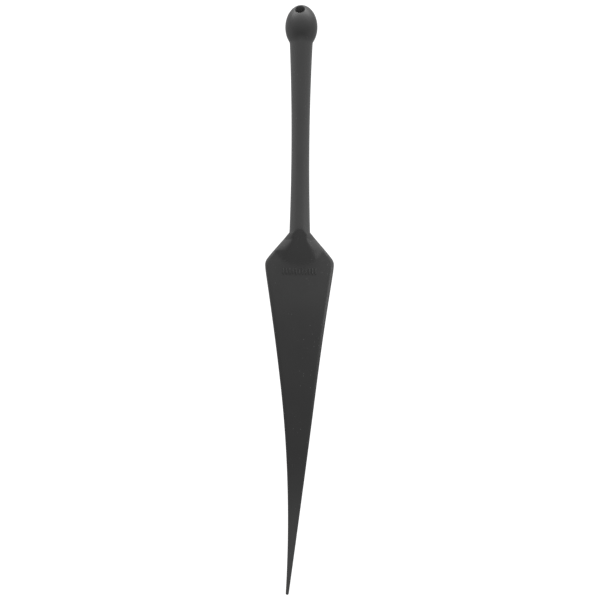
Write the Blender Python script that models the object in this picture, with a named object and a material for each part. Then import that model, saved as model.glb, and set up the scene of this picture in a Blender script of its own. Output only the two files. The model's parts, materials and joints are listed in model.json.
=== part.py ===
"""Flexible one-piece hand tool: pommel, round grip and a flat lance blade that runs out into a tail.

The tool is one elastomer moulding. It lies on its flat back with the pommel toward +Y and the
tail toward -Y, and it is divided across its length into stretches that bend against each other.
A joint is a round nose, on the stretch that is farther from the hand, inside a hollow of the
same centre, so the outline stays whole while the joint turns.

Places along the tool are distances from the tip of the tail, measured along its middle line.
"""

import math
from typing import NamedTuple

import bmesh
import bpy
from mathutils import Vector

MM = 0.001

# Blade and tail
BLADE_LENGTH = 259.6 * MM  # tip to the corners of the shoulders
BLADE_WIDTH = 55.6 * MM  # across those corners before they are rounded
BLADE_STRAIGHT_SHARE = 0.375  # 1 gives straight sides, 0 a pure parabola
BLADE_THICKNESS = 5.2 * MM  # at the shoulders
TIP_WIDTH = 2.3 * MM
TIP_THICKNESS = 2.0 * MM
TIP_ROUNDING = 1.5 * MM
TIP_BLUNTNESS = 0.2
EDGE_ROUNDING = 3.0 * MM  # how far the rounded edge reaches in from the outline
TAIL_BEND_START = 166.5 * MM
TAIL_BEND_RADIUS = 1810 * MM

# Shoulders, and the ramp where the grip thins into the blade
SHOULDER_ANGLE = math.radians(41.5)  # of the shoulder edges, from the middle line
SHOULDER_SOFTNESS = 3.0 * MM  # the rounding takes half of this off the corner's half width
RAMP_FOOT_HALF_WIDTH = 12.6 * MM
RAMP_TOP_HALF_WIDTH = 1.5 * MM
RAMP_SIDE_SPREAD = 3.0  # how far the ramp's sides reach out for each unit that it has climbed
GRIP_FADE_LENGTH = 6.0 * MM

# Grip
GRIP_LENGTH = 146 * MM  # shoulders to neck
GRIP_END_RADIUS = 7.95 * MM
WAIST_RADIUS = 6.93 * MM
WAIST_FROM_SHOULDER = 64 * MM
NECK_RADIUS = 8.83 * MM

# Pommel
POMMEL_WIDTH = 24.8 * MM
POMMEL_DEPTH = 20.4 * MM
CROWN_HEIGHT = 17.0 * MM  # crown above the widest ring
NECK_TO_WIDEST = 11.9 * MM  # neck to the pommel's widest ring
BORE_DIAMETER = 7.7 * MM
BORE_BELOW_CROWN = 9.3 * MM  # where the bore's axis crosses the middle plane
BORE_TILT = math.radians(32)  # of that axis, from the front's normal toward the crown

# Joints
JOINT_GAP = 0.3 * MM
NECK_BEND_DROP = 3.0 * MM  # below the neck
GRIP_BEND_SPACING = 47.0 * MM
BLADE_BEND_TOP = 236.0 * MM
BLADE_BEND_SPACING = 34.0 * MM  # of the first two bends
BLADE_BEND_SHORTENING = 2.25 * MM  # each spacing is this much shorter than the one before

# Fineness of the mesh
COLUMNS = 8  # from the middle of a cross-section to its edge
RING_SPACING = 12.0 * MM
TIP_RING_SHARES = (0.25, 0.6, 1.0)
SHOULDER_RINGS = 10
NECK_RINGS = 3
CROWN_RING_ANGLES = (15, 30, 44, 57, 68, 77)
CROWN_CAP_ANGLE = 85
CAP_CLEARANCE = 0.6 * MM  # between a joint's end surface and the nearest plain ring
BORE_SIDES = 32

# Worked out from the sizes above
TAPER = (BLADE_WIDTH - TIP_WIDTH) / 2
GRIP_START = BLADE_LENGTH + (BLADE_WIDTH / 2 - GRIP_END_RADIUS) / math.tan(SHOULDER_ANGLE)
NECK = GRIP_START + GRIP_LENGTH
WIDEST = NECK + NECK_TO_WIDEST
CROWN = WIDEST + CROWN_HEIGHT


class Bend(NamedTuple):
    """A joint: its place, the way it turns, and which side of it is nearer the hand."""

    place: float
    turn: str  # "flex" about the width, "sway" about the thickness
    toward_hand: int  # +1 when the hand is on the pommel's side of the joint


class Stretch(NamedTuple):
    """A piece of the moulding between two joints, or between a joint and an end."""

    name: str
    lower: Bend | None
    upper: Bend | None


def ease(t):
    t = min(1.0, max(0.0, t))
    return t * t * (3 - 2 * t)


def blade_half_width(place):
    share = place / BLADE_LENGTH
    curve = BLADE_STRAIGHT_SHARE * share + (1 - BLADE_STRAIGHT_SHARE) * share**2
    half = TIP_WIDTH / 2 + TAPER * curve
    from_round = max(0.0, 1 - place / TIP_ROUNDING)
    return half * math.sqrt(1 - (1 - TIP_BLUNTNESS) * from_round**2)


def shoulder_half_width(place):
    """The lesser of the blade's side and the slanting shoulder edge, eased from one to the other."""
    side = blade_half_width(place)
    edge = GRIP_END_RADIUS + (GRIP_START - place) * math.tan(SHOULDER_ANGLE)
    return (side + edge - math.sqrt((side - edge) ** 2 + SHOULDER_SOFTNESS**2)) / 2


def grip_radius(place):
    waist = GRIP_START + WAIST_FROM_SHOULDER
    if place < waist:
        share = (waist - place) / WAIST_FROM_SHOULDER
        return WAIST_RADIUS + (GRIP_END_RADIUS - WAIST_RADIUS) * share**2
    share = (place - waist) / (GRIP_LENGTH - WAIST_FROM_SHOULDER)
    return WAIST_RADIUS + (NECK_RADIUS - WAIST_RADIUS) * share**2


def pommel_half(place, size):
    """Half of the pommel's width or depth: an egg, whose sides meet the grip at the neck."""
    axis = CROWN_HEIGHT
    if place < WIDEST:
        axis = NECK_TO_WIDEST / math.sqrt(1 - (2 * NECK_RADIUS / POMMEL_WIDTH) ** 2)
    half = size / 2 * math.sqrt(max(0.0, 1 - ((place - WIDEST) / axis) ** 2))
    return max(half, NECK_RADIUS) if place < WIDEST else half


def thickness(place):
    return TIP_THICKNESS + (BLADE_THICKNESS - TIP_THICKNESS) * min(1.0, place / BLADE_LENGTH)


def middle_height(place):
    """Height of the round part's axis: the grip and the pommel both reach down to the surface."""
    share = (place - GRIP_START) / (WIDEST - GRIP_START)
    return GRIP_END_RADIUS + (POMMEL_DEPTH / 2 - GRIP_END_RADIUS) * share


def columns(half_width, edge):
    """Offsets across a section, from one side to the other, closer together at its edges."""
    knee = max(half_width - edge, half_width / 2)
    half = COLUMNS // 2
    inner = [knee * i / half for i in range(half + 1)]
    outer = [knee + (half_width - knee) * math.sin(math.pi / 2 * i / half) for i in range(1, half + 1)]
    right = inner + outer
    return [-x for x in reversed(right[1:])] + right


def rounded_section(half_width, half_height, edge, middle):
    """Columns (across, low, high) of a flat section whose edges are quarter ellipses."""
    section = []
    for x in columns(half_width, edge):
        past = max(0.0, (abs(x) - (half_width - edge)) / edge)
        half = half_height * math.sqrt(max(0.0, 1 - past**2))
        section.append((x, middle - half, middle + half))
    return section


def round_section(place):
    """Section of the grip or the pommel."""
    if place > NECK:
        half = pommel_half(place, POMMEL_WIDTH)
        return rounded_section(half, pommel_half(place, POMMEL_DEPTH), half, middle_height(place))
    radius = grip_radius(place)
    return rounded_section(radius, radius, radius, middle_height(place))


def flat_section(place):
    """Section of the blade, with the ramp that rises from it toward the grip."""
    half = shoulder_half_width(place)
    height = thickness(place)
    section = rounded_section(half, height / 2, min(EDGE_ROUNDING, half), height / 2)
    climb = (place - BLADE_LENGTH) / (GRIP_START - BLADE_LENGTH)
    if climb <= 0:
        return section
    rise = (2 * GRIP_END_RADIUS - BLADE_THICKNESS) * climb
    level_half = RAMP_FOOT_HALF_WIDTH + (RAMP_TOP_HALF_WIDTH - RAMP_FOOT_HALF_WIDTH) * climb
    reach = min(rise * RAMP_SIDE_SPREAD, half - level_half)
    return [(x, low, high + rise * (1 - ease((abs(x) - level_half) / reach))) for x, low, high in section]


def section_at(place):
    if place >= GRIP_START:
        return round_section(place)
    flat = flat_section(place)
    fade = ease((GRIP_START - place) / GRIP_FADE_LENGTH)
    half = max(GRIP_END_RADIUS, flat[-1][0])
    oval = rounded_section(half, GRIP_END_RADIUS, half, GRIP_END_RADIUS)
    return [tuple(a + (b - a) * fade for a, b in zip(one, other)) for one, other in zip(oval, flat)]


def middle_line(place):
    """Point of the middle line on the surface the tool lies on, and the way across it there."""
    if place >= TAIL_BEND_START:
        return Vector((0, place, 0)), Vector((1, 0, 0))
    turn = (TAIL_BEND_START - place) / TAIL_BEND_RADIUS
    across = Vector((math.cos(turn), -math.sin(turn), 0))
    centre = Vector((-TAIL_BEND_RADIUS, TAIL_BEND_START, 0))
    return centre + across * TAIL_BEND_RADIUS, across


FRAME_SHIFT = Vector((0, -(middle_line(0)[0].y + CROWN) / 2, 0))


def point_at(place, column, side):
    """A surface point: side 1 is the low one of the column, side 2 the high one."""
    section = section_at(place)
    origin, across = middle_line(place)
    return origin + FRAME_SHIFT + across * section[column][0] + Vector((0, 0, section[column][side]))


def ring_order():
    """(column, side) of each point around a section, along its front and back along its back."""
    last = 2 * COLUMNS
    front = [(column, 2) for column in range(last + 1)]
    back = [(column, 1) for column in range(last - 1, 0, -1)]
    return front + back


def ring_index(column, side):
    if side == 2 or column in (0, 2 * COLUMNS):
        return column
    return 4 * COLUMNS - column


def bend_radius(bend):
    """Half the section's size in the plane that the joint turns in."""
    section = section_at(bend.place)
    middle = section[COLUMNS]
    return (middle[2] - middle[1]) / 2 if bend.turn == "flex" else section[-1][0]


def pivot_point(bend):
    middle = section_at(bend.place)[COLUMNS]
    return middle_line(bend.place)[0] + FRAME_SHIFT + Vector((0, 0, (middle[1] + middle[2]) / 2))


def bend_ring(bend, radius):
    """Places along the tool of the points where a joint's round surface meets the outside."""
    section = section_at(bend.place)
    middle = (section[COLUMNS][1] + section[COLUMNS][2]) / 2
    places = []
    for column, side in ring_order():
        off = section[column][side] - middle if bend.turn == "flex" else section[column][0]
        places.append(bend.place + bend.toward_hand * math.sqrt(max(0.0, radius**2 - off**2)))
    return places


def flex_cap(bend):
    """Faces across the width, from the edges to the front and to the back."""
    section = section_at(bend.place)
    last = 2 * COLUMNS
    faces = []
    for side in (2, 1):
        heights = [section[column][side] for column in range(COLUMNS + 1)]
        flat = next(c for c in range(1, COLUMNS + 1) if abs(heights[c] - heights[COLUMNS]) < 1e-6)
        for c in range(flat - 1):
            pairs = [(c, side), (c + 1, side), (last - c - 1, side), (last - c, side)]
            faces.append([ring_index(*pair) for pair in pairs])
        faces.append([ring_index(column, side) for column in range(flat - 1, last - flat + 2)])
    return faces


def sway_cap():
    """Faces through the thickness, from one side to the other."""
    last = 2 * COLUMNS
    faces = []
    for c in range(last):
        corners = [ring_index(c, 2), ring_index(c + 1, 2), ring_index(c + 1, 1), ring_index(c, 1)]
        faces.append(list(dict.fromkeys(corners)))
    return faces


def cap_faces(bend):
    if bend is None:
        return [list(range(4 * COLUMNS))]
    return flex_cap(bend) if bend.turn == "flex" else sway_cap()


def end_ring(bend, other_side, plain_place):
    """Ring that closes a stretch: other_side is +1 when the stretch is above the joint."""
    if bend is None:
        return [plain_place] * (4 * COLUMNS)
    nearer_hand = other_side == bend.toward_hand
    radius = bend_radius(bend) + (JOINT_GAP if nearer_hand else 0)
    return bend_ring(bend, radius)


def plain_rings(start, end, extra):
    """Evenly spaced flat rings between two places, and the extra ones that lie between them."""
    count = max(1, math.ceil((end - start) / RING_SPACING))
    even = [start + (end - start) * i / count for i in range(count + 1)]
    inside = [place for place in extra if start < place < end]
    kept = [place for place in even if all(abs(place - other) > MM for other in inside)]
    return sorted(kept + inside)


def feature_rings():
    """Places where the outline changes fast enough to need rings of its own."""
    tip = [TIP_ROUNDING * share for share in TIP_RING_SHARES]
    top = GRIP_START + SHOULDER_SOFTNESS / 2
    bottom = BLADE_LENGTH - 4 * SHOULDER_SOFTNESS
    shoulder = [bottom + (top - bottom) * i / SHOULDER_RINGS for i in range(SHOULDER_RINGS + 1)]
    shoulder = [place for place in shoulder if abs(place - BLADE_LENGTH) > MM] + [BLADE_LENGTH]
    lower = [NECK + (WIDEST - NECK) * i / NECK_RINGS for i in range(NECK_RINGS + 1)]
    upper = [WIDEST + CROWN_HEIGHT * math.sin(math.radians(angle)) for angle in CROWN_RING_ANGLES]
    return tip + shoulder + lower + upper


def stretch_mesh(stretch, pivot):
    """Closed mesh of one stretch, with its origin at its joint."""
    crown_top = WIDEST + CROWN_HEIGHT * math.sin(math.radians(CROWN_CAP_ANGLE))
    low = end_ring(stretch.lower, 1, 0.0)
    high = end_ring(stretch.upper, -1, crown_top)
    start = max(low) + CAP_CLEARANCE
    end = min(high) - CAP_CLEARANCE
    if stretch.upper is None:
        end = crown_top - CAP_CLEARANCE / 4
    rings = [low] + [[place] * (4 * COLUMNS) for place in plain_rings(start, end, feature_rings())] + [high]

    mesh = bpy.data.meshes.new(stretch.name)
    shape = bmesh.new()
    order = ring_order()
    layers = []
    for ring in rings:
        points = [point_at(place, *spot) - pivot for place, spot in zip(ring, order)]
        layers.append([shape.verts.new(point) for point in points])
    around = len(order)
    for one, other in zip(layers, layers[1:]):
        for i in range(around):
            j = (i + 1) % around
            shape.faces.new((one[i], one[j], other[j], other[i]))
    for layer, bend in ((layers[0], stretch.lower), (layers[-1], stretch.upper)):
        for corners in cap_faces(bend):
            shape.faces.new([layer[index] for index in corners])
    bmesh.ops.recalc_face_normals(shape, faces=shape.faces)
    shape.to_mesh(mesh)
    shape.free()
    mesh.shade_smooth()
    mesh.set_sharp_from_angle(angle=math.radians(35))
    return mesh


def elastomer():
    """Matt dark grey silicone."""
    material = bpy.data.materials.new("dark_grey_silicone")
    material.use_nodes = True
    shader = material.node_tree.nodes["Principled BSDF"]
    shader.inputs["Base Color"].default_value = (0.055, 0.055, 0.056, 1)
    shader.inputs["Roughness"].default_value = 0.62
    shader.inputs["Metallic"].default_value = 0.0
    return material


def bends_of_blade(count):
    """Joints from the blade's root to the tail, closer together as the tool gets slimmer."""
    places = [BLADE_BEND_TOP]
    for i in range(count - 1):
        places.append(places[-1] - (BLADE_BEND_SPACING - i * BLADE_BEND_SHORTENING))
    return places


def layout():
    """The stretches from the pommel to the tip, and the stretch that is held in the hand."""
    neck_bend = NECK - NECK_BEND_DROP
    upper = Bend(neck_bend - GRIP_BEND_SPACING, "flex", 1)
    middle = Bend(upper.place - GRIP_BEND_SPACING, "sway", 1)
    grip_end = Bend(middle.place - GRIP_BEND_SPACING, "flex", 1)
    turns = ["flex", "flex", "flex", "flex", "flex", "sway", "flex", "sway", "flex"]
    below = [Bend(place, turn, 1) for place, turn in zip(bends_of_blade(len(turns)), turns)]
    bends = [Bend(neck_bend, "flex", -1), upper, middle, grip_end, *below]
    names = ["pommel", "grip_upper", "grip_middle", "grip_lower", "shoulder"]
    names += [f"blade_{i}" for i in range(1, 5)] + [f"tail_{i}" for i in range(1, 5)] + ["tail_tip"]
    uppers = [None, *bends]
    lowers = [*bends, None]
    return [Stretch(*row) for row in zip(names, lowers, uppers)]


def joint_of(stretch):
    """The joint that carries a stretch, which is the one on its hand side."""
    if stretch.lower is not None and stretch.lower.toward_hand == -1:
        return stretch.lower
    if stretch.upper is not None and stretch.upper.toward_hand == 1:
        return stretch.upper
    return None


def bore_cutter(collection):
    """Cylinder of the slanted cord bore through the pommel."""
    place = CROWN - BORE_BELOW_CROWN
    centre = FRAME_SHIFT + Vector((0, place, middle_height(place)))
    bpy.ops.mesh.primitive_cylinder_add(
        vertices=BORE_SIDES,
        radius=BORE_DIAMETER / 2,
        depth=3 * POMMEL_DEPTH,
        location=centre,
        rotation=(-BORE_TILT, 0, 0),
    )
    cutter = bpy.context.object
    cutter.name = "bore_cutter"
    for holder in cutter.users_collection:
        holder.objects.unlink(cutter)
    collection.objects.link(cutter)
    cutter.hide_render = True
    cutter.display_type = "WIRE"
    return cutter


def main():
    for thing in list(bpy.data.objects):
        bpy.data.objects.remove(thing)
    parts = bpy.data.collections.new("flexible_tool")
    cutters = bpy.data.collections.new("cutters")
    for collection in (parts, cutters):
        bpy.context.scene.collection.children.link(collection)
    frame = bpy.data.objects.new("frame", None)
    parts.objects.link(frame)
    material = elastomer()

    made = {}
    stretches = layout()
    held = next(stretch for stretch in stretches if joint_of(stretch) is None)
    pivots = {held.name: FRAME_SHIFT + Vector((0, (held.lower.place + held.upper.place) / 2, 0))}
    parents = {held.name: None}
    for above, below in zip(stretches, stretches[1:]):
        bend = below.upper
        child, parent = (below, above) if bend.toward_hand == 1 else (above, below)
        pivots[child.name] = pivot_point(bend)
        parents[child.name] = parent.name
    for stretch in stretches:
        pivot = pivots[stretch.name]
        piece = bpy.data.objects.new(stretch.name, stretch_mesh(stretch, pivot))
        piece.data.materials.append(material)
        parts.objects.link(piece)
        made[stretch.name] = piece
    for name, piece in made.items():
        parent = parents[name]
        piece.parent = made[parent] if parent else frame
        piece.location = pivots[name] - (pivots[parent] if parent else Vector())
    cut = made["pommel"].modifiers.new("bore", "BOOLEAN")
    cut.operation = "DIFFERENCE"
    cut.solver = "EXACT"
    cut.object = bore_cutter(cutters)


main()
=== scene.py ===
# %% [markdown]
# # A flexible one-piece tool in matt dark grey silicone
#
# The real object is a single moulding: an egg-shaped pommel with a cord bore, a long round grip,
# a ramp that thins the grip into a flat blade, and a blade that tapers into a soft tail. It has
# no seams between materials and no fasteners, so everything depends on one clean surface and on
# one good material.
#
# The packed model divides the moulding into short rigid stretches, joined by hinges, because a
# physics engine can't bend one solid. Here the surface is made whole again: a skin that follows
# one rule from crown to tip, cut only halfway between two hinges, where it doesn't bend.

# %% Load the frame
import json
import math

import bmesh
import bpy
from mathutils import Matrix, Vector

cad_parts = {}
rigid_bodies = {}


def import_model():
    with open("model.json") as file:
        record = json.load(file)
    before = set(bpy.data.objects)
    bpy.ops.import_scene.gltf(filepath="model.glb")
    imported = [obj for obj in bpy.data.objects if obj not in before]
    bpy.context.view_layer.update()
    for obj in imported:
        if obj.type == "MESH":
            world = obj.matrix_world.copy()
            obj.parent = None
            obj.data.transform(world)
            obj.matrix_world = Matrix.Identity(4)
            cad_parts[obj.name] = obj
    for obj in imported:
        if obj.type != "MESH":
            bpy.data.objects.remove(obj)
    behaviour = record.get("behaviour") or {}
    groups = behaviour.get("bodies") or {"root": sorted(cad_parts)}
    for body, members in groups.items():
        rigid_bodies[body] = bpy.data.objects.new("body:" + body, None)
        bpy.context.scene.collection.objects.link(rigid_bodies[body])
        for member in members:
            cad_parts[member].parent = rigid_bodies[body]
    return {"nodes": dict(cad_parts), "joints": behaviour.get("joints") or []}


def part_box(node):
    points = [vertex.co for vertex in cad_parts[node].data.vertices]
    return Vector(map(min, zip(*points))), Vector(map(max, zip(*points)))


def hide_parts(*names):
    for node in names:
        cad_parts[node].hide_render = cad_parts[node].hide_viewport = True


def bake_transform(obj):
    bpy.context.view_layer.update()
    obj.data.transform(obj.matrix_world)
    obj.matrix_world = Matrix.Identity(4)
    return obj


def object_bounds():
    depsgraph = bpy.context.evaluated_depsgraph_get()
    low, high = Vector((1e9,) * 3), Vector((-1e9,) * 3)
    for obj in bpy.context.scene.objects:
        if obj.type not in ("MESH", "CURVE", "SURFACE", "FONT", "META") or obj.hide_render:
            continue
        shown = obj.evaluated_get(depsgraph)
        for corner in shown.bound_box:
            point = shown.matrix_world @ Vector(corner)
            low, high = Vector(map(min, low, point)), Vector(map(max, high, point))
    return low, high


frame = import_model()
cad_low, cad_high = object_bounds()
print("stretches:", ", ".join(frame["nodes"]))
print("overall size in mm:", [round(1000 * side, 1) for side in cad_high - cad_low])

# %% [markdown]
# ## Sizes
#
# The pommel's width is read from the frame, and so are the places of the hinges further down. The
# other sizes repeat the solids' own, because the skin has to cover them closely. A few numbers
# give the outline its character, such as the slant of the shoulders and how straight the blade's
# sides are. A place along the tool is its distance from the tip of the tail, measured along the
# middle line.

# %% Sizes
MM = 0.001
pommel_low, pommel_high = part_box("pommel")

BLADE_LENGTH = 259.6 * MM
BLADE_WIDTH = 55.6 * MM
BLADE_STRAIGHT_SHARE = 0.375
BLADE_THICKNESS = 5.2 * MM
TIP_WIDTH = 2.3 * MM
TIP_THICKNESS = 2.0 * MM
TIP_ROUNDING = 1.3 * MM
EDGE_ROUNDING = 3.0 * MM
TAIL_BEND_START = 166.5 * MM
TAIL_BEND_RADIUS = 1810 * MM

SHOULDER_SLOPE = math.tan(math.radians(41.5))
SHOULDER_SOFTNESS = 3.0 * MM
RAMP_TOP_HALF_WIDTH = 1.5 * MM
RAMP_FOOT_HALF_WIDTH = 12.6 * MM
RAMP_ABOVE_SHOULDER = 2.2 * MM
RAMP_SIDE_SPREAD = 3.0
RAMP_SIDE_EASE = 0.4
RAMP_EDGE_SOFTNESS = 0.4 * MM
RAMP_EDGE_RUN_IN = 2 * MM
LEAST_REACH = 0.01 * MM

GRIP_LENGTH = 146 * MM
GRIP_END_RADIUS = 7.95 * MM
GRIP_FADE_LENGTH = 6.0 * MM
WAIST_RADIUS = 6.93 * MM
WAIST_FROM_SHOULDER = 64 * MM
NECK_RADIUS = 8.83 * MM
NECK_TO_WIDEST = 11.9 * MM
NECK_SOFTNESS = 0.25 * MM

POMMEL_WIDTH = pommel_high.x - pommel_low.x
POMMEL_DEPTH = 20.4 * MM
CROWN_HEIGHT = 17.0 * MM
SEAM_HEIGHT = 0.05 * MM
SEAM_SHARPNESS = 24.0

GRIP_START = BLADE_LENGTH + (BLADE_WIDTH / 2 - GRIP_END_RADIUS) / SHOULDER_SLOPE
NECK = GRIP_START + GRIP_LENGTH
WIDEST = NECK + NECK_TO_WIDEST
CROWN = WIDEST + CROWN_HEIGHT
TIP_Y = TAIL_BEND_START - TAIL_BEND_RADIUS * math.sin(TAIL_BEND_START / TAIL_BEND_RADIUS)
FRAME_SHIFT = -(TIP_Y + CROWN) / 2
print("mm from the tip: shoulders", round(BLADE_LENGTH / MM), "grip", round(GRIP_START / MM),
      "neck", round(NECK / MM), "crown", round(CROWN / MM))


# %% [markdown]
# ## Places along the tool
#
# Two small helpers turn a place into a point and a point into a place. The middle line is straight
# from the crown to the lower blade, and then an arc of a very large circle, because the tail of
# the real moulding has taken a slight set to one side.

# %% Place to point, and back
def middle_point(place, height=0.0):
    turn = max(0.0, TAIL_BEND_START - place) / TAIL_BEND_RADIUS
    x = TAIL_BEND_RADIUS * (math.cos(turn) - 1)
    y = TAIL_BEND_START - TAIL_BEND_RADIUS * math.sin(turn) + max(0.0, place - TAIL_BEND_START)
    return Vector((x, y + FRAME_SHIFT, height))


def place_of(point):
    along = point[1] - FRAME_SHIFT
    if along >= TAIL_BEND_START:
        return along
    turn = math.atan2(TAIL_BEND_START - along, point[0] + TAIL_BEND_RADIUS)
    return TAIL_BEND_START - turn * TAIL_BEND_RADIUS


hinges = sorted(frame["joints"], key=lambda joint: -place_of(joint["pos_m"]))
hinge_places = [place_of(joint["pos_m"]) for joint in hinges]
print("hinges in mm from the tip:", [round(place / MM, 1) for place in hinge_places])

# %% [markdown]
# ## Camera
#
# A long lens straight above the tool keeps the outline almost free of perspective. The camera is
# turned by half a degree, because the tool lies slightly askew.

# %% Camera
CAMERA_HEIGHT = 1.0
FRAME_MARGIN = 1.02302
CAMERA_SIDE_STEP = 0.6 * MM
CAMERA_UP_STEP = 1.2 * MM
CAMERA_ROLL = math.radians(0.45)

centre = (cad_low + cad_high) / 2
framed_side = (cad_high.y - cad_low.y) * FRAME_MARGIN
camera_data = bpy.data.cameras.new("camera")
camera_data.lens = camera_data.sensor_width * CAMERA_HEIGHT / framed_side
camera = bpy.data.objects.new("camera", camera_data)
camera.location = (CAMERA_SIDE_STEP, centre.y + CAMERA_UP_STEP, CAMERA_HEIGHT)
camera.rotation_euler = (0, 0, CAMERA_ROLL)
bpy.context.scene.collection.objects.link(camera)
bpy.context.scene.camera = camera
print("lens", round(camera_data.lens, 1), "mm, framing", round(framed_side / MM), "mm")

# %% [markdown]
# ## Stage and light
#
# The tool lies on clear glass, well above a glowing white sheet, so that the ground burns out to
# white and takes no shadow. The sheet is deep enough to leave the tool in sight when it curls
# down past the glass, which isn't modelled. The surroundings are pale on all sides. One wide
# low lamp beyond the pommel makes every face that leans toward it brighter and every face that
# leans away, such as the ramp, darker. Three small lamps low at the sides put a faint sheen along
# the grip, stronger on the right, and the nearest of them also on the right half of the blade.

# %% Ground and light
GROUND_HALF = 12.0
GROUND_DEPTH = 0.35
GROUND_GREY = 0.05
GROUND_ROUGHNESS = 0.9
GROUND_GLOW = 1.06
SURROUNDINGS_GLOW = 0.66
ground_material = bpy.data.materials.new("white_ground")
ground_material.use_nodes = True
ground_shader = ground_material.node_tree.nodes["Principled BSDF"]
ground_shader.inputs["Base Color"].default_value = (GROUND_GREY, GROUND_GREY, GROUND_GREY, 1)
ground_shader.inputs["Roughness"].default_value = GROUND_ROUGHNESS
ground_shader.inputs["Emission Color"].default_value = (1, 1, 1, 1)
ground_shader.inputs["Emission Strength"].default_value = GROUND_GLOW
bpy.ops.mesh.primitive_plane_add(size=2 * GROUND_HALF, location=(0, 0, -GROUND_DEPTH))
ground = bpy.context.object
ground.name = "ground"
ground.data.materials.append(ground_material)


def soft_box(name, location, sides, watts, aim=(0, 0, 0)):
    """A rectangular area lamp that faces a point, and doesn't show itself."""
    data = bpy.data.lights.new(name, "AREA")
    data.shape = "RECTANGLE"
    data.size, data.size_y = sides
    data.energy = watts
    lamp = bpy.data.objects.new(name, data)
    lamp.location = location
    lamp.visible_camera = False
    lamp.rotation_euler = (Vector(aim) - Vector(location)).to_track_quat("-Z", "Y").to_euler()
    bpy.context.scene.collection.objects.link(lamp)


world = bpy.data.worlds.new("pale_surroundings")
world.use_nodes = True
background = world.node_tree.nodes["Background"]
background.inputs["Color"].default_value = (1, 1, 1, 1)
background.inputs["Strength"].default_value = SURROUNDINGS_GLOW
bpy.context.scene.world = world
bpy.context.scene.view_settings.view_transform = "Standard"
soft_box("window_beyond_pommel", (0.0, 1.6, 0.45), (3.0, 0.3), watts=80)
soft_box("lamp_at_the_right", (0.32, 0.0, 0.16), (0.15, 0.15), watts=0.28)
soft_box("near_lamp_at_the_right", (0.10, -0.005, 0.06), (0.05, 0.05), watts=0.04)
soft_box("lamp_at_the_left", (-0.40, 0.10, 0.12), (0.15, 0.15), watts=0.2, aim=(0, 0.08, 0))

# %% [markdown]
# ## Formulas as nodes
#
# The skin follows a rule, so Geometry Nodes can make it. A rule that is laid out by hand as Math
# nodes soon becomes unreadable. This small class stands for a number that flows through the tree:
# adding, multiplying or comparing two of them places the node and its links, so the rule below
# reads as ordinary arithmetic.

# %% A number in a node tree
class Flow:
    """A number in a node tree. Arithmetic on it adds Math nodes."""

    def __init__(self, tree, socket):
        self.tree = tree
        self.socket = socket

    def do(self, operation, *others):
        node = self.tree.nodes.new("ShaderNodeMath")
        node.operation = operation
        for slot, value in zip(node.inputs, (self, *others)):
            if isinstance(value, Flow):
                self.tree.links.new(value.socket, slot)
            else:
                slot.default_value = value
        return Flow(self.tree, node.outputs[0])

    def __add__(self, other):
        return self.do("ADD", other)

    def __sub__(self, other):
        return self.do("SUBTRACT", other)

    def __mul__(self, other):
        return self.do("MULTIPLY", other)

    def __truediv__(self, other):
        return self.do("DIVIDE", other)

    def __gt__(self, other):
        return self.do("GREATER_THAN", other)

    def __neg__(self):
        return self * -1

    def __rsub__(self, other):
        return -self + other

    def __rtruediv__(self, other):
        return self.do("POWER", -1.0) * other

    __radd__ = __add__
    __rmul__ = __mul__

    def least(self, other):
        return self.do("MINIMUM", other)

    def most(self, other):
        return self.do("MAXIMUM", other)

    def squared(self):
        return self * self

    def root(self):
        return self.most(0.0).do("SQRT")

    def ease(self):
        """0 below 0, 1 above 1, and a smooth S between."""
        t = self.most(0.0).least(1.0)
        return t * t * (3 - 2 * t)


def mix(a, b, share):
    return a + (b - a) * share


def soft_least(a, b, softness):
    """The lesser of two numbers, rounded where they cross."""
    return (a + b - ((a - b).squared() + softness * softness).root()) * 0.5


def soft_most(a, b, softness):
    """The greater of two numbers, rounded where they cross."""
    return (a + b + ((a - b).squared() + softness * softness).root()) * 0.5


print("a Flow can:", ", ".join(name for name in vars(Flow) if not name.startswith("_")))

# %% [markdown]
# ## The outline
#
# Seen from the front, the tool is four curves laid end to end: a blade whose sides are almost
# straight near the shoulders and hollow toward the tip, two slanting shoulder edges, a grip made
# of two parabolas that meet at its waist, and an egg. A rounded minimum joins blade and shoulder,
# and a rounded maximum joins shoulder to grip and grip to egg.

# %% Half widths along the tool
def blade_half(s, size):
    share = s / size["Blade Length"]
    curve = share * BLADE_STRAIGHT_SHARE + share.squared() * (1 - BLADE_STRAIGHT_SHARE)
    return mix(size["Tip Width"] * 0.5, size["Blade Width"] * 0.5, curve)


def shoulder_half(s, size):
    slant = size["Grip End Radius"] + (size["Grip Start"] - s) * SHOULDER_SLOPE
    return soft_least(blade_half(s, size), slant, SHOULDER_SOFTNESS)


def grip_half(s, size):
    waist = size["Grip Start"] + WAIST_FROM_SHOULDER
    below = (waist - s).most(0.0).least(WAIST_FROM_SHOULDER) / WAIST_FROM_SHOULDER
    above = (s - waist).most(0.0) / (GRIP_LENGTH - WAIST_FROM_SHOULDER)
    to_end = (size["Grip End Radius"] - size["Waist Radius"]) * below.squared()
    to_neck = (size["Neck Radius"] - size["Waist Radius"]) * above.squared()
    return size["Waist Radius"] + to_end + to_neck


def egg_half(s, full, size):
    """Half an ellipse above the widest ring, and below it one that meets the neck's sides."""
    past = s - size["Widest"]
    neck_share = size["Neck Radius"] * 2 / size["Pommel Width"]
    lower_axis = NECK_TO_WIDEST / (1 - neck_share.squared()).root()
    up = past.most(0.0) / CROWN_HEIGHT
    down = (-past).most(0.0) / lower_axis
    return full * 0.5 * (1 - up.squared() - down.squared()).root()


def round_half(s, full, size):
    """Grip and egg in one: the grip stops counting at the egg's widest ring."""
    below_widest = 1 - (s > size["Widest"])
    grip = grip_half(s, size) * below_widest
    return soft_most(grip, egg_half(s, full, size), below_widest * NECK_SOFTNESS)


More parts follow.
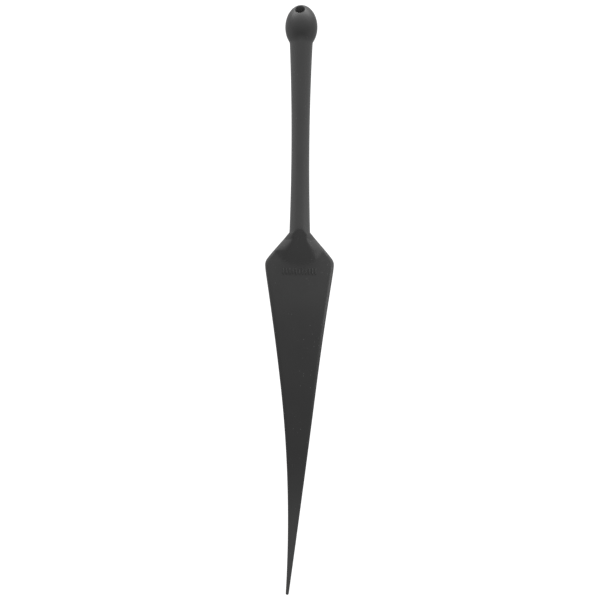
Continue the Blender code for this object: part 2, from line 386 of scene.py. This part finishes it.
print("outline: blade, shoulder, grip and egg")

# %% [markdown]
# ## The cross-section
#
# A section is a flat bar with quarter-ellipse edges. When the edges reach all the way in, the bar
# is an oval or a circle, so the same section makes blade, grip and pommel. The ramp is cut into
# the front last: a slanting plane that nothing may stand above, on a ridge that falls away to both
# shoulder edges in a smooth curve. The thin line that a mould leaves where its halves meet runs
# along both edges.

# %% Section sizes at a place
def section_sizes(s, size):
    fade = ((size["Grip Start"] - s) / GRIP_FADE_LENGTH).ease()
    flat = shoulder_half(s, size)
    width = round_half(s, size["Pommel Width"], size)
    depth = round_half(s, size["Pommel Depth"], size)
    blade_share = (s / size["Blade Length"]).least(1.0)
    thickness = mix(size["Tip Thickness"], size["Blade Thickness"], blade_share)
    end = (1 - s / TIP_ROUNDING).most(0.0)
    closing = (1 - end.squared()).root()

    above_blade = s > size["Blade Length"]
    half_width = mix(flat, soft_most(width, flat, NECK_SOFTNESS), above_blade) * closing
    half_height = mix(depth, thickness * 0.5, fade) * closing
    edge = mix(half_width, half_width.least(size["Edge Rounding"]), fade)
    climb = size["Pommel Depth"] * 0.5 - size["Grip End Radius"]
    rise = climb / (size["Widest"] - size["Grip Start"])
    round_middle = size["Grip End Radius"] + (s - size["Grip Start"]).most(0.0) * rise
    middle = mix(round_middle, thickness * 0.5, fade)
    return half_width, half_height, edge, middle, thickness, fade


def ramp(s, x, half_width, thickness, size):
    """Height of the ridge over the blade, and of the slanting plane that tops it."""
    foot = size["Blade Length"]
    top = size["Grip Start"] + RAMP_ABOVE_SHOULDER
    slope = (size["Grip End Radius"] * 2 - size["Blade Thickness"]) / (top - foot)
    climb = (s - foot).most(0.0) * slope
    flat_half = mix(RAMP_FOOT_HALF_WIDTH, RAMP_TOP_HALF_WIDTH, (s - foot) / (top - foot))
    reach = (climb * RAMP_SIDE_SPREAD).least(half_width - flat_half).most(LEAST_REACH)
    out = ((x.do("ABSOLUTE") - flat_half) / reach).most(0.0).least(1.0)
    down = mix(out, out.ease(), RAMP_SIDE_EASE)
    return climb * (1 - down), thickness + climb


print("section: bar with quarter-ellipse edges, and a ramp")

# %% [markdown]
# ## The skin as a node tree
#
# The tree bends a plain cylinder into one stretch of the moulding. A point's height on the
# cylinder becomes its place along the tool, and its angle becomes its place around the section.
# Around the section, half of the points at most go to the flats, so that narrow rounded edges
# get enough of them. At the crown and at the tip the rings crowd together toward the pole.

# %% Tree inputs
SKIN_SIZES = {
    "From": 0.0,
    "To": 1.0,
    "Crowd At Tip": 0.0,
    "Crowd At Crown": 0.0,
    "Blade Length": BLADE_LENGTH,
    "Blade Width": BLADE_WIDTH,
    "Blade Thickness": BLADE_THICKNESS,
    "Edge Rounding": EDGE_ROUNDING,
    "Tip Width": TIP_WIDTH,
    "Tip Thickness": TIP_THICKNESS,
    "Grip Start": GRIP_START,
    "Grip End Radius": GRIP_END_RADIUS,
    "Waist Radius": WAIST_RADIUS,
    "Neck Radius": NECK_RADIUS,
    "Widest": WIDEST,
    "Pommel Width": POMMEL_WIDTH,
    "Pommel Depth": POMMEL_DEPTH,
    "Seam Height": SEAM_HEIGHT,
}
SKIN_COUNTS = {"Rings": 40, "Points Around": 96}
MERGE_DISTANCE = 0.002 * MM


def new_tree(name, sizes, counts):
    """An empty Geometry Nodes tree with named inputs, its entry node, and each input as a Flow."""
    tree = bpy.data.node_groups.new(name, "GeometryNodeTree")
    for kind, inputs in (("NodeSocketFloat", sizes), ("NodeSocketInt", counts)):
        for label, default in inputs.items():
            socket = tree.interface.new_socket(label, in_out="INPUT", socket_type=kind)
            socket.default_value = default
    tree.interface.new_socket("Material", in_out="INPUT", socket_type="NodeSocketMaterial")
    tree.interface.new_socket("Geometry", in_out="OUTPUT", socket_type="NodeSocketGeometry")
    entry = tree.nodes.new("NodeGroupInput")
    flows = {label: Flow(tree, entry.outputs[label]) for label in (*sizes, *counts)}
    return tree, entry, flows


def finish_tree(tree, entry, geometry):
    """Smooth shading, real points instead of instances, and the material."""
    smooth = tree.nodes.new("GeometryNodeSetShadeSmooth")
    real = tree.nodes.new("GeometryNodeRealizeInstances")
    paint = tree.nodes.new("GeometryNodeSetMaterial")
    out = tree.nodes.new("NodeGroupOutput")
    tree.links.new(geometry, smooth.inputs["Geometry"])
    tree.links.new(smooth.outputs[0], real.inputs[0])
    tree.links.new(real.outputs[0], paint.inputs["Geometry"])
    tree.links.new(entry.outputs["Material"], paint.inputs["Material"])
    tree.links.new(paint.outputs[0], out.inputs["Geometry"])


print("tree inputs:", ", ".join(SKIN_SIZES))


# %% The skin's rule
MOST_FLAT_SHARE = 0.5


def skin_point(s, x_raw, y_raw, size):
    """Position of a skin point from its place and its position on the plain cylinder."""
    half_width, half_height, edge, middle, thickness, fade = section_sizes(s, size)
    quarter = y_raw.do("ARCTAN2", x_raw)
    front = -quarter > 0.0
    turns = quarter.do("ABSOLUTE") / (math.pi / 2)
    right = (1 - turns).do("SIGN")
    toward_side = (1 - turns).do("ABSOLUTE")

    bar = half_width - edge
    flat_share = (bar / (bar + edge * (math.pi / 2))).least(MOST_FLAT_SHARE)
    share = ((toward_side - flat_share) / (1 - flat_share)).most(0.0)
    arc = share * (math.pi / 2)
    seam = share.do("POWER", SEAM_SHARPNESS) * size["Seam Height"]
    x = right * (bar * (toward_side / flat_share).least(1.0) + edge * arc.do("SINE") + seam)
    off = half_height * arc.do("COSINE")

    ridge, plane = ramp(s, x, half_width, thickness, size)
    softness = ((s - size["Blade Length"]) / RAMP_EDGE_RUN_IN).ease() * RAMP_EDGE_SOFTNESS
    high = soft_least(middle + off + ridge * fade, plane, softness)
    z = mix(middle - off, high, front)

    turn = (TAIL_BEND_START - s).most(0.0) / TAIL_BEND_RADIUS
    beside = x + TAIL_BEND_RADIUS
    across = turn.do("COSINE") * beside - TAIL_BEND_RADIUS
    straight = (s - TAIL_BEND_START).most(0.0)
    along = straight - turn.do("SINE") * beside + (TAIL_BEND_START + FRAME_SHIFT)
    return across, along, z


def set_positions(tree, geometry, flows):
    """Moves every point of a geometry to the three flows, and returns the result's socket."""
    together = tree.nodes.new("ShaderNodeCombineXYZ")
    for slot, value in zip(together.inputs, flows):
        tree.links.new(value.socket, slot)
    place = tree.nodes.new("GeometryNodeSetPosition")
    tree.links.new(geometry, place.inputs["Geometry"])
    tree.links.new(together.outputs[0], place.inputs["Position"])
    return place.outputs["Geometry"]


def point_flows(tree):
    """The three coordinates of each point, as flows."""
    position = tree.nodes.new("GeometryNodeInputPosition")
    apart = tree.nodes.new("ShaderNodeSeparateXYZ")
    tree.links.new(position.outputs[0], apart.inputs[0])
    return [Flow(tree, socket) for socket in apart.outputs]


# %% The skin tree
def build_skin_tree():
    tree, entry, size = new_tree("moulding_skin", SKIN_SIZES, SKIN_COUNTS)
    tube = tree.nodes.new("GeometryNodeMeshCylinder")
    tube.inputs["Radius"].default_value = 1.0
    tube.inputs["Depth"].default_value = 1.0
    tree.links.new(size["Points Around"].socket, tube.inputs["Vertices"])
    tree.links.new(size["Rings"].socket, tube.inputs["Side Segments"])
    x_raw, y_raw, height = point_flows(tree)

    even = height + 0.5
    crowded_low = mix(even, even.squared(), size["Crowd At Tip"])
    crowded = mix(crowded_low, 1 - (1 - even).squared(), size["Crowd At Crown"])
    s = mix(size["From"], size["To"], crowded)

    placed = set_positions(tree, tube.outputs["Mesh"], skin_point(s, x_raw, y_raw, size))
    merge = tree.nodes.new("GeometryNodeMergeByDistance")
    merge.inputs["Distance"].default_value = MERGE_DISTANCE
    tree.links.new(placed, merge.inputs["Geometry"])
    finish_tree(tree, entry, merge.outputs[0])
    return tree


skin_tree = build_skin_tree()
print("skin tree:", len(skin_tree.nodes), "nodes")

# %% [markdown]
# ## The material: moulded silicone
#
# Silicone leaves its mould with a very fine matt grain, and it isn't evenly dull: where hands hold
# it the grain fills with skin oil and shines a little more. It also holds dust. Each of these is
# a shader node group with its own named values, used at full strength nowhere: together they
# should only be noticed when they are missing. A fourth group tells how far along the tool a
# point is, so that the grey can change slowly from region to region, as painted light and shade.

# %% Helpers for shader groups
def shader_group(name, inputs, outputs):
    """An empty shader group. inputs and outputs map a label to (socket type, default)."""
    group = bpy.data.node_groups.new(name, "ShaderNodeTree")
    for in_out, sockets in (("INPUT", inputs), ("OUTPUT", outputs)):
        for label, (kind, default) in sockets.items():
            kind_name = f"NodeSocket{kind}"
            socket = group.interface.new_socket(label, in_out=in_out, socket_type=kind_name)
            if default is not None:
                socket.default_value = default
    return group, group.nodes.new("NodeGroupInput"), group.nodes.new("NodeGroupOutput")


def noise(tree, vector, scale, detail, roughness=0.5):
    """A noise texture's value. scale is a number or a socket."""
    node = tree.nodes.new("ShaderNodeTexNoise")
    tree.links.new(vector, node.inputs["Vector"])
    node.inputs["Detail"].default_value = detail
    node.inputs["Roughness"].default_value = roughness
    if isinstance(scale, Flow):
        tree.links.new(scale.socket, node.inputs["Scale"])
    else:
        node.inputs["Scale"].default_value = scale
    return Flow(tree, node.outputs["Fac"])


print("shader helpers: shader_group, noise")

# %% Mould grain
WAVE_IN_GRAINS = 25


def build_mould_grain():
    """Height of the fine matt grain, with a slow waviness under it."""
    sockets = {
        "Vector": ("Vector", None),
        "Grain Size": ("Float", 0.3 * MM),
        "Waviness": ("Float", 0.3),
    }
    group, entry, out = shader_group("mould_grain", sockets, {"Height": ("Float", None)})
    grain_size = Flow(group, entry.outputs["Grain Size"])
    where = entry.outputs["Vector"]
    fine = noise(group, where, grain_size.do("POWER", -1.0), detail=3.0, roughness=0.6)
    wave_scale = (grain_size * WAVE_IN_GRAINS).do("POWER", -1.0)
    slow = noise(group, where, wave_scale, detail=2.0)
    height = fine + slow * Flow(group, entry.outputs["Waviness"])
    group.links.new(height.socket, out.inputs["Height"])
    return group


mould_grain = build_mould_grain()
print("group:", mould_grain.name, len(mould_grain.nodes), "nodes")


# %% Handling shine
CLOUD_FROM = 0.4
CLOUD_SPAN = 0.2


def build_handling():
    """Roughness that falls in soft cloudy patches, as where a hand has polished the surface."""
    sockets = {
        "Vector": ("Vector", None),
        "Patch Size": ("Float", 18 * MM),
        "Dull": ("Float", 0.6),
        "Polished": ("Float", 0.5),
    }
    group, entry, out = shader_group("handling_shine", sockets, {"Roughness": ("Float", None)})
    scale = Flow(group, entry.outputs["Patch Size"]).do("POWER", -1.0)
    cloud = noise(group, entry.outputs["Vector"], scale, detail=4.0, roughness=0.6)
    share = ((cloud - CLOUD_FROM) / CLOUD_SPAN).ease()
    value = mix(Flow(group, entry.outputs["Dull"]), Flow(group, entry.outputs["Polished"]), share)
    group.links.new(value.socket, out.inputs["Roughness"])
    return group


handling = build_handling()
print("group:", handling.name, len(handling.nodes), "nodes")


# %% Dust
SPECK_RADIUS = 0.09
SPECK_EDGE = 0.03
DRIFT_SIZE = 30 * MM
DRIFT_FROM = 0.45
DRIFT_SPAN = 0.15


def build_dust():
    """Sparse pale specks, a few tenths of a millimetre across, that gather in drifts."""
    sockets = {
        "Vector": ("Vector", None),
        "Speck Spacing": ("Float", 2.5 * MM),
        "Amount": ("Float", 0.5),
    }
    group, entry, out = shader_group("held_dust", sockets, {"Mask": ("Float", None)})
    cells = group.nodes.new("ShaderNodeTexVoronoi")
    group.links.new(entry.outputs["Vector"], cells.inputs["Vector"])
    scale = Flow(group, entry.outputs["Speck Spacing"]).do("POWER", -1.0)
    group.links.new(scale.socket, cells.inputs["Scale"])
    distance = Flow(group, cells.outputs["Distance"])
    speck = ((SPECK_RADIUS - distance) / SPECK_EDGE).ease()
    cloud = noise(group, entry.outputs["Vector"], 1 / DRIFT_SIZE, detail=2.0)
    drift = ((cloud - DRIFT_FROM) / DRIFT_SPAN).ease()
    mask = speck * drift * Flow(group, entry.outputs["Amount"])
    group.links.new(mask.socket, out.inputs["Mask"])
    return group


dust = build_dust()
print("group:", dust.name, len(dust.nodes), "nodes")


# %% Regions along the tool
def build_along_tool():
    """0 at one place along the tool, 1 at another, and a slow change between."""
    sockets = {
        "Vector": ("Vector", None),
        "Zero At": ("Float", 0.0),
        "One At": ("Float", 1.0),
    }
    group, entry, out = shader_group("along_tool", sockets, {"Mask": ("Float", None)})
    apart = group.nodes.new("ShaderNodeSeparateXYZ")
    group.links.new(entry.outputs["Vector"], apart.inputs[0])
    along = Flow(group, apart.outputs["Y"])
    low, high = (Flow(group, entry.outputs[label]) for label in ("Zero At", "One At"))
    group.links.new(((along - low) / (high - low)).ease().socket, out.inputs["Mask"])
    return group


along_tool = build_along_tool()
print("group:", along_tool.name, len(along_tool.nodes), "nodes")

# %% [markdown]
# ## Four greys of painted light and shade in one moulding
#
# The moulding is painted in four greys that stand in for light and shade. The blade is painted
# darkest and the pommel next, as painted shade, while the grip is painted paler and the thin tail
# palest, as painted light. So the material takes a grey for each region and changes slowly from
# one to the next, over the stretches that are named here. The same function makes a second
# material, for the wall of the cord bore, which is painted paler as painted light inside the bore.

# %% The silicone
GRAIN_STRENGTH = 0.12
GRAIN_HEIGHT = 0.02 * MM
DUST_GREY = 0.30
SILICONE_IOR = 1.42
# Stretches over which the painted light and shade pass from one region's grey to the next.
BLADE_TO_GRIP = (190 * MM, 300 * MM)
GRIP_TO_POMMEL = (NECK - 1 * MM, NECK + 3 * MM)
BLADE_TO_TAIL = (115 * MM, 15 * MM)


def build_silicone(name, lower_blade_painted_grey, grip, pommel_end_painted_grey, tail):
    """The silicone, painted with a grey for each of four regions, as painted light and shade."""
    material = bpy.data.materials.new(name)
    material.use_nodes = True
    tree = material.node_tree
    shader = tree.nodes["Principled BSDF"]
    where = tree.nodes.new("ShaderNodeTexCoord").outputs["Object"]

    def use(group, **values):
        node = tree.nodes.new("ShaderNodeGroup")
        node.node_tree = group
        tree.links.new(where, node.inputs["Vector"])
        for label, value in values.items():
            node.inputs[label.replace("_", " ")].default_value = value
        return node

    grain = use(mould_grain, Grain_Size=0.35 * MM, Waviness=0.4)
    bump = tree.nodes.new("ShaderNodeBump")
    bump.inputs["Strength"].default_value = GRAIN_STRENGTH
    bump.inputs["Distance"].default_value = GRAIN_HEIGHT
    tree.links.new(grain.outputs["Height"], bump.inputs["Height"])
    tree.links.new(bump.outputs["Normal"], shader.inputs["Normal"])

    shine = use(handling, Patch_Size=22 * MM, Dull=0.56, Polished=0.5)
    tree.links.new(shine.outputs["Roughness"], shader.inputs["Roughness"])

    def blend_grey(mask, below, above):
        node = tree.nodes.new("ShaderNodeMix")
        node.data_type = "RGBA"
        tree.links.new(mask, node.inputs["Factor"])
        for label, grey in (("A", below), ("B", above)):
            if isinstance(grey, float):
                node.inputs[label].default_value = (grey, grey, grey, 1)
            else:
                tree.links.new(grey, node.inputs[label])
        return node.outputs["Result"]

    grey = lower_blade_painted_grey
    changes = ((BLADE_TO_GRIP, grip), (GRIP_TO_POMMEL, pommel_end_painted_grey), (BLADE_TO_TAIL, tail))
    for (zero, one), region_painted_grey in changes:
        mask = use(along_tool, Zero_At=middle_point(zero).y, One_At=middle_point(one).y)
        grey = blend_grey(mask.outputs["Mask"], grey, region_painted_grey)
    specks = use(dust, Speck_Spacing=3.2 * MM, Amount=0.25)
    with_dust = blend_grey(specks.outputs["Mask"], grey, DUST_GREY)
    tree.links.new(with_dust, shader.inputs["Base Color"])
    shader.inputs["IOR"].default_value = SILICONE_IOR
    return material


# The region greys are painted light and shade: the blade and pommel darker, the grip and tail
# paler.
silicone = build_silicone(
    "moulded_silicone", lower_blade_painted_grey=0.0095, grip=0.024, pommel_end_painted_grey=0.015, tail=0.030)
# The bore's wall is painted paler than the outside: painted light inside the shaded bore.
bore_wall = build_silicone(
    "dusty_silicone_in_the_bore", lower_blade_painted_grey=0.010, grip=0.024, pommel_end_painted_grey=0.10, tail=0.030)
print("silicone:", len(silicone.node_tree.nodes), "nodes in each of its two materials")

# %% [markdown]
# ## Making the stretches
#
# Each hinge gets one piece of skin, from halfway to the hinge above it to halfway to the hinge
# below, so two pieces that meet always have the same rim. The modifier's result is taken as a
# plain mesh.

# %% From tree to mesh
def set_inputs(modifier, tree, values):
    """Set a Geometry Nodes modifier's inputs by their labels."""
    identifiers = {item.name: item.identifier for item in tree.interface.items_tree}
    for label, value in values.items():
        modifier[identifiers[label]] = value


def evaluated_mesh(thing):
    """A plain mesh of an object as its modifiers leave it."""
    bpy.context.view_layer.update()
    seen = thing.evaluated_get(bpy.context.evaluated_depsgraph_get())
    return bpy.data.meshes.new_from_object(seen)


def mesh_from_tree(name, tree, values):
    """An object whose plain mesh is what the tree makes from these values."""
    holder = bpy.data.objects.new(name, bpy.data.meshes.new(name))
    bpy.context.scene.collection.objects.link(holder)
    modifier = holder.modifiers.new("shape", "NODES")
    modifier.node_group = tree
    defaults = {item.name: item.default_value for item in tree.interface.items_tree
                if item.in_out == "INPUT" and item.socket_type != "NodeSocketMaterial"}
    set_inputs(modifier, tree, {**defaults, **values, "Material": silicone})
    holder.update_tag()
    made = evaluated_mesh(holder)
    holder.modifiers.clear()
    holder.data = made
    made.name = name
    made.materials.clear()
    made.materials.append(silicone)
    made.polygons.foreach_set("material_index", [0] * len(made.polygons))
    return holder


print("inputs of the skin tree:", len(skin_tree.interface.items_tree) - 1)

# %% The thirteen pieces
RING_SPACING = 0.8 * MM
SHOULDER_RING_SPACING = 0.4 * MM
cuts = [CROWN] + [(a + b) / 2 for a, b in zip(hinge_places, hinge_places[1:])] + [0.0]
skins = {}
for joint, high, low in zip(hinges, cuts, cuts[1:]):
    spacing = SHOULDER_RING_SPACING if low < GRIP_START < high else RING_SPACING
    values = {
        "From": low,
        "To": high,
        "Crowd At Tip": float(low == 0.0),
        "Crowd At Crown": float(high == CROWN),
        "Rings": round((high - low) / spacing),
    }
    skin = mesh_from_tree(f"{joint['child']}_skin", skin_tree, values)
    skins[joint["child"]] = skin
print("skin pieces:", {name: len(skin.data.polygons) for name, skin in skins.items()})

# %% [markdown]
# ## The cord bore
#
# The pommel has a slanted bore near its crown, which isn't quite central and is turned by a few
# degrees. The cutter is a turned shape and not a plain cylinder: it flares at both mouths, so the
# Boolean leaves a soft lip, as a moulded hole has. Its wall is painted paler than the outside, as
# painted light inside the shaded bore.

# %% Where the bore comes out
BORE_RADIUS = 3.85 * MM
BORE_BELOW_CROWN = 9.3 * MM
BORE_ASIDE = 0.4 * MM
BORE_TILT = math.radians(37)
BORE_TURN = math.radians(9)


def mouth_distance(side):
    """Distance along the bore's axis from the middle plane to the surface, for side +1 or -1."""
    start = CROWN_HEIGHT - BORE_BELOW_CROWN
    along, up = math.sin(BORE_TILT), math.cos(BORE_TILT)
    a = (along / CROWN_HEIGHT) ** 2 + (up / (POMMEL_DEPTH / 2)) ** 2
    b = 2 * start * along / CROWN_HEIGHT**2
    c = (start / CROWN_HEIGHT) ** 2 - 1
    return (-b + side * math.sqrt(b * b - 4 * a * c)) / (2 * a)


print("bore mouths at", [round(mouth_distance(side) / MM, 1) for side in (1, -1)],
      "mm along its axis")

# %% A turned cutter
BORE_SIDES = 96
LIP_RADIUS = 0.4 * MM
LIP_SINK = 0.3 * MM
LIP_STEPS = 8
LIP_FLARE = 1.6
CUTTER_OVERRUN = 6 * MM


def lip(distance, side):
    """Profile of one flared mouth, from inside the bore outward."""
    rim = distance - side * LIP_SINK
    points = []
    for step in range(LIP_STEPS + 1):
        angle = math.pi / 2 * step / LIP_STEPS
        radius = BORE_RADIUS + LIP_RADIUS * (1 - math.cos(angle))
        points.append((radius, rim - side * LIP_RADIUS * (1 - math.sin(angle))))
    points.append((BORE_RADIUS + LIP_RADIUS * LIP_FLARE, rim + side * CUTTER_OVERRUN))
    points.append((0.0, rim + side * CUTTER_OVERRUN))
    return points


def turned(name, profile, sides):
    """A closed turned shape around Z, from (radius, height) points with both ends on Z."""
    shape = bmesh.new()
    line = [shape.verts.new((radius, 0, height)) for radius, height in profile]
    edges = [shape.edges.new(pair) for pair in zip(line, line[1:])]
    bmesh.ops.spin(shape, geom=line + edges, cent=(0, 0, 0), axis=(0, 0, 1), angle=2 * math.pi,
                   steps=sides, use_duplicate=False)
    bmesh.ops.remove_doubles(shape, verts=shape.verts, dist=MERGE_DISTANCE)
    bmesh.ops.recalc_face_normals(shape, faces=shape.faces)
    mesh = bpy.data.meshes.new(name)
    shape.to_mesh(mesh)
    shape.free()
    thing = bpy.data.objects.new(name, mesh)
    bpy.context.scene.collection.objects.link(thing)
    return thing


profile = list(reversed(lip(mouth_distance(-1), -1))) + lip(mouth_distance(1), 1)
cutter = turned("bore_cutter", profile, BORE_SIDES)
cutter.data.materials.append(bore_wall)
print("cutter:", len(cutter.data.polygons), "faces")

# %% Place it and cut
bore_place = CROWN - BORE_BELOW_CROWN
slope = (POMMEL_DEPTH / 2 - GRIP_END_RADIUS) / (WIDEST - GRIP_START)
bore_height = GRIP_END_RADIUS + (bore_place - GRIP_START) * slope
turn = Matrix.Rotation(BORE_TURN, 4, "Z") @ Matrix.Rotation(-BORE_TILT, 4, "X")
bore_middle = middle_point(bore_place, bore_height) - Vector((BORE_ASIDE, 0, 0))
cutter.data.transform(Matrix.Translation(bore_middle) @ turn)

bored = skins["pommel"]
cut = bored.modifiers.new("bore", "BOOLEAN")
cut.operation = "DIFFERENCE"
cut.solver = "EXACT"
cut.material_mode = "TRANSFER"
cut.object = cutter
with_bore = evaluated_mesh(bored)
bored.modifiers.clear()
bored.data = with_bore
bpy.data.objects.remove(cutter)
print("pommel with its bore:", len(with_bore.polygons), "faces")

# %% [markdown]
# ## Smooth shading with crisp rims
#
# Every piece is closed by a flat cap that its neighbour hides. Smooth shading would drag the
# rim's normals toward the cap and draw a dark line around the tool there, so edges sharper than
# a set angle keep both of their normals.

# %% Shading
SHARP_ANGLE = math.radians(50)
for skin in skins.values():
    skin.data.shade_smooth()
    skin.data.set_sharp_from_angle(angle=SHARP_ANGLE)
print("smooth pieces:", len(skins))

# %% [markdown]
# ## Raised ribs in place of a mark
#
# The real moulding has a small raised mark across the blade's root. It is replaced by a plain row
# of equal upright ribs, which keeps the texture and says nothing. A row of equal things is one
# thing placed many times, so the tree makes one rib, a line of points, and an instance on each.

# %% Rib tree
RIB_SIZES = {
    "Spacing": 2.5 * MM,
    "Rib Length": 4.6 * MM,
    "Rib Width": 1.0 * MM,
    "Rib Height": 0.5 * MM,
}
RIB_COUNTS = {"Ribs": 11}
RIBS_BELOW_FOOT = 7.6 * MM


def build_rib_tree():
    """A row of equal ribs along X, centred on the origin and half sunk."""
    tree, entry, size = new_tree("row_of_ribs", RIB_SIZES, RIB_COUNTS)
    row = tree.nodes.new("GeometryNodeMeshLine")
    tree.links.new(size["Ribs"].socket, row.inputs["Count"])
    step = tree.nodes.new("ShaderNodeCombineXYZ")
    tree.links.new(size["Spacing"].socket, step.inputs["X"])
    tree.links.new(step.outputs[0], row.inputs["Offset"])
    start = tree.nodes.new("ShaderNodeCombineXYZ")
    tree.links.new((size["Spacing"] * (size["Ribs"] - 1) * -0.5).socket, start.inputs["X"])
    tree.links.new(start.outputs[0], row.inputs["Start Location"])

    ball = tree.nodes.new("GeometryNodeMeshUVSphere")
    ball.inputs["Segments"].default_value = 12
    ball.inputs["Rings"].default_value = 8
    ball.inputs["Radius"].default_value = 1.0
    x, y, z = point_flows(tree)
    half = size["Rib Width"] * 0.5
    straight = size["Rib Length"] * 0.5 - half
    stretched = (x * half, y * half + y.do("SIGN") * straight, z * size["Rib Height"])
    pill = set_positions(tree, ball.outputs["Mesh"], stretched)

    copies = tree.nodes.new("GeometryNodeInstanceOnPoints")
    tree.links.new(row.outputs["Mesh"], copies.inputs["Points"])
    tree.links.new(pill, copies.inputs["Instance"])
    finish_tree(tree, entry, copies.outputs["Instances"])
    return tree


ribs = mesh_from_tree("raised_ribs", build_rib_tree(), {})
rib_place = BLADE_LENGTH - RIBS_BELOW_FOOT
surface = TIP_THICKNESS + (BLADE_THICKNESS - TIP_THICKNESS) * rib_place / BLADE_LENGTH
ribs.data.transform(Matrix.Translation(middle_point(rib_place, surface)))
print("ribs:", len(ribs.data.polygons), "faces")

# %% [markdown]
# ## Baking the pieces and hiding the solids
#
# Each piece, and the row of ribs with the piece it stands on, has its transform baked into its
# mesh. The solid stretch that each piece covers is hidden, and so is the upper grip.

# %% Bodies
POMMEL_STIFF_ABOVE = 7 * MM
TIP_STIFF_BELOW = 16 * MM
for joint, place, high, low in zip(hinges, hinge_places, cuts, cuts[1:]):
    child, parent = joint["child"], joint["parent"]
    skin = skins[child]
    upper, lower = (child, parent) if child == "pommel" else (parent, child)
    start = min(high, place + POMMEL_STIFF_ABOVE) if child == "pommel" else high
    end = max(low, place - TIP_STIFF_BELOW) if child == "tail_tip" else low
    for piece in [skin] + ([ribs] if low < rib_place < high else []):
        middle_point(start)
        middle_point(end)
        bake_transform(piece)
    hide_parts(child)
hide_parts("grip_upper")
print("pieces:", len(skins) + 1)

# %% [markdown]
# ## Finish
#
# The skin has to stay as large as the solids it covers. The last line brings the scene up to date.

# %% Finish
bpy.context.view_layer.update()
